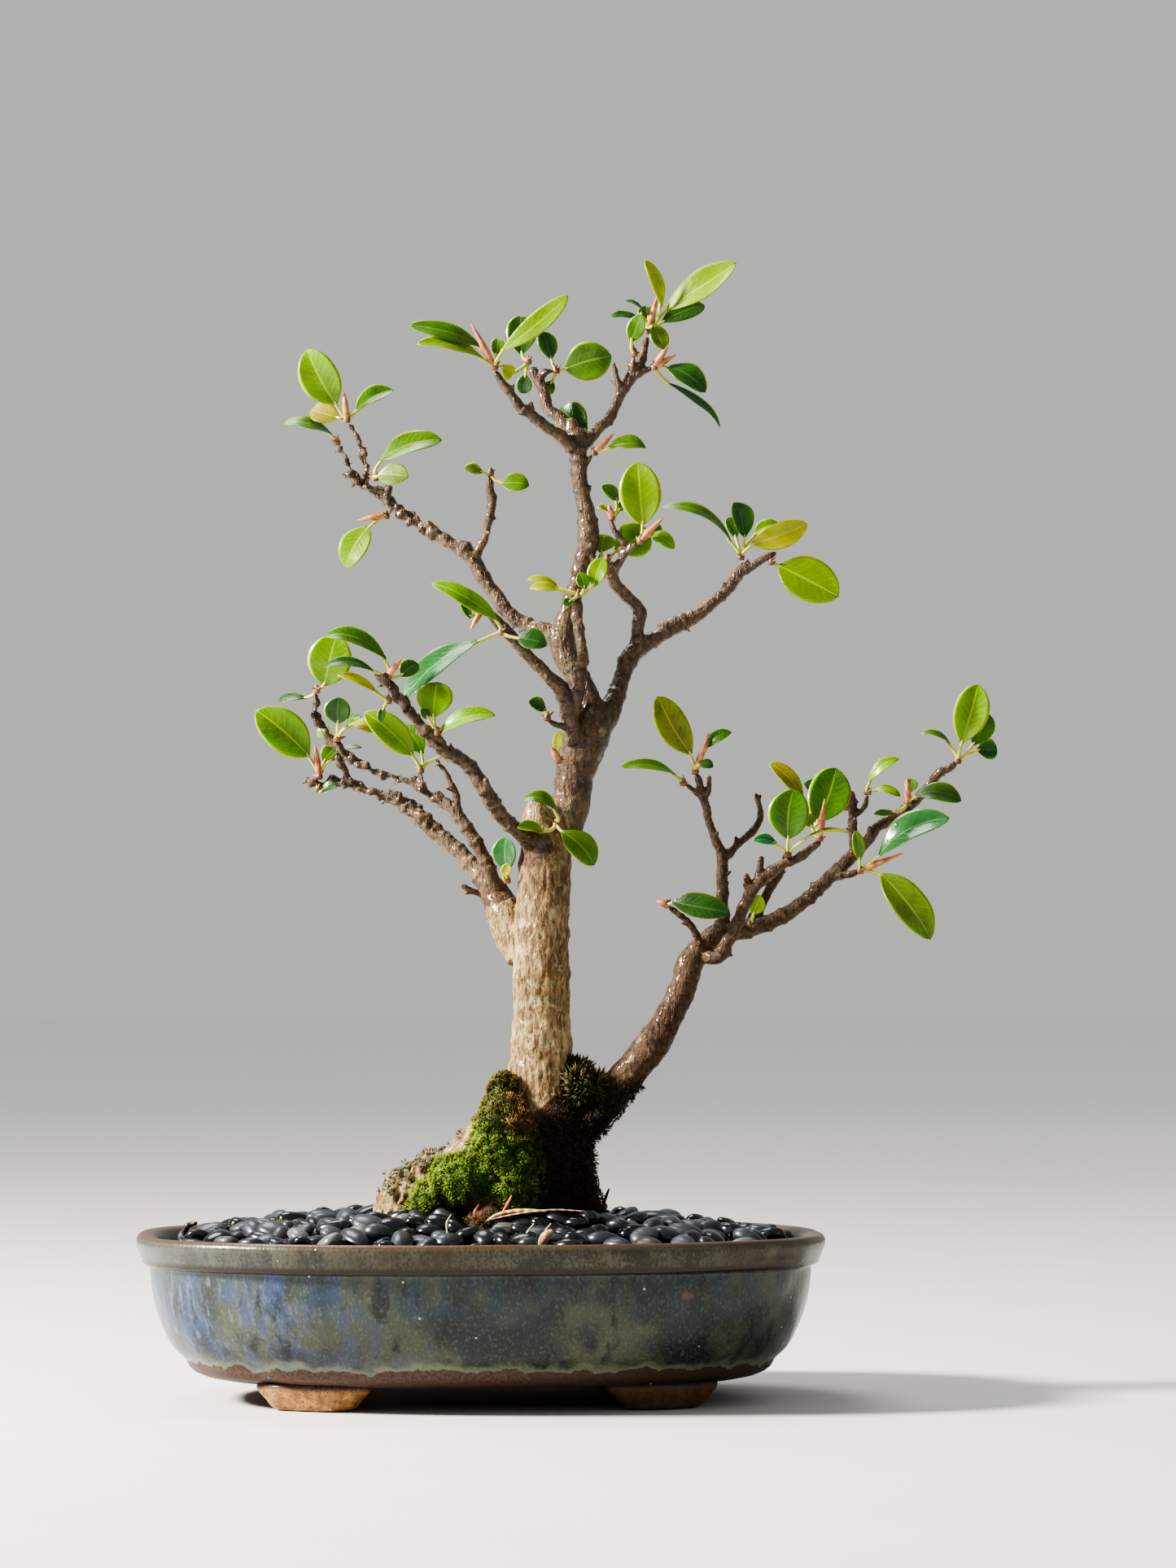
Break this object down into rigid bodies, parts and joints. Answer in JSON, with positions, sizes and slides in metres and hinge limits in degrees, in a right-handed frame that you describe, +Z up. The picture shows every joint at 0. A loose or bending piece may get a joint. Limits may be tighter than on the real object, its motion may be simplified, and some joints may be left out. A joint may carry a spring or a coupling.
{
  "type": "potted bonsai tree",
  "caption": "Ficus bonsai in an oval glazed pot with feet, polished pebble topping, moss at the base, a forked grey-brown trunk and sparse leafy shoots.",
  "frame": {"origin": "middle of the whole object's footprint, on the surface that the pot stands on", "axes": "+Z up, +X along the pot's long axis towards the side that the second trunk leans to, -Y towards the viewer in front of the tree"},
  "size_m": [0.316, 0.19, 0.4151],
  "materials": {
    "glazed_pot": "mottled blue-green glaze, darker olive-brown at the rim, bare brown clay at the foot",
    "screen_plastic": "black square mesh",
    "soil": "dark granular bonsai soil",
    "pebbles": "polished black river pebbles with a few grey ones",
    "bark": "rough grey-tan bark, wet dark brown twigs",
    "moss": "bright green to rusty brown moss",
    "leaves": "glossy leaves, yellow-green to dark green, with pink bud sheaths"
  },
  "bodies": {
    "root": {"pot": "glazed_pot", "pot_floor": "glazed_pot", "drainage_screen_left": "screen_plastic", "drainage_screen_right": "screen_plastic", "soil": "soil", "pebble_topping": "pebbles", "tree_wood": "bark", "moss_front": "moss", "moss_right": "moss", "shoot_upper_left_tip": "leaves", "shoot_upper_left_end": "leaves", "shoot_upper_left_inner": "leaves", "shoot_upper_left_hanging": "leaves", "shoot_upper_left_fork": "leaves", "shoot_apex_left_tip": "leaves", "shoot_apex_middle_tip": "leaves", "shoot_apex_middle_side": "leaves", "shoot_apex_crotch": "leaves", "shoot_apex_low_twig": "leaves", "shoot_apex_top": "leaves", "shoot_apex_right_side": "leaves", "shoot_apex_right_nub": "leaves", "shoot_middle_right_twig": "leaves", "shoot_middle_right_spur": "leaves", "shoot_middle_right_riser": "leaves", "shoot_middle_front": "leaves", "shoot_middle_right_tip_inner": "leaves", "shoot_middle_right_tip_outer": "leaves", "shoot_middle_left": "leaves", "shoot_middle_left_tip": "leaves", "shoot_middle_left_twig": "leaves", "shoot_trunk_bud": "leaves", "shoot_left_second_tip": "leaves", "shoot_left_second_bend": "leaves", "shoot_left_limb_tip": "leaves", "shoot_left_limb_under": "leaves", "shoot_left_second_spur": "leaves", "shoot_left_front_inner": "leaves", "shoot_left_front_tip": "leaves", "shoot_left_front_low": "leaves", "shoot_trunk_cut": "leaves", "shoot_left_crotch": "leaves", "shoot_right_upright_tip": "leaves", "shoot_right_upright_left": "leaves", "shoot_right_low_twig": "leaves", "shoot_right_limb_small": "leaves", "shoot_right_front": "leaves", "shoot_right_front_tip": "leaves", "shoot_right_limb_spur": "leaves", "shoot_right_limb_spur_side": "leaves", "shoot_right_limb_side": "leaves", "shoot_right_limb_upper": "leaves", "shoot_right_limb_tip": "leaves"}
  },
  "joints": []
}
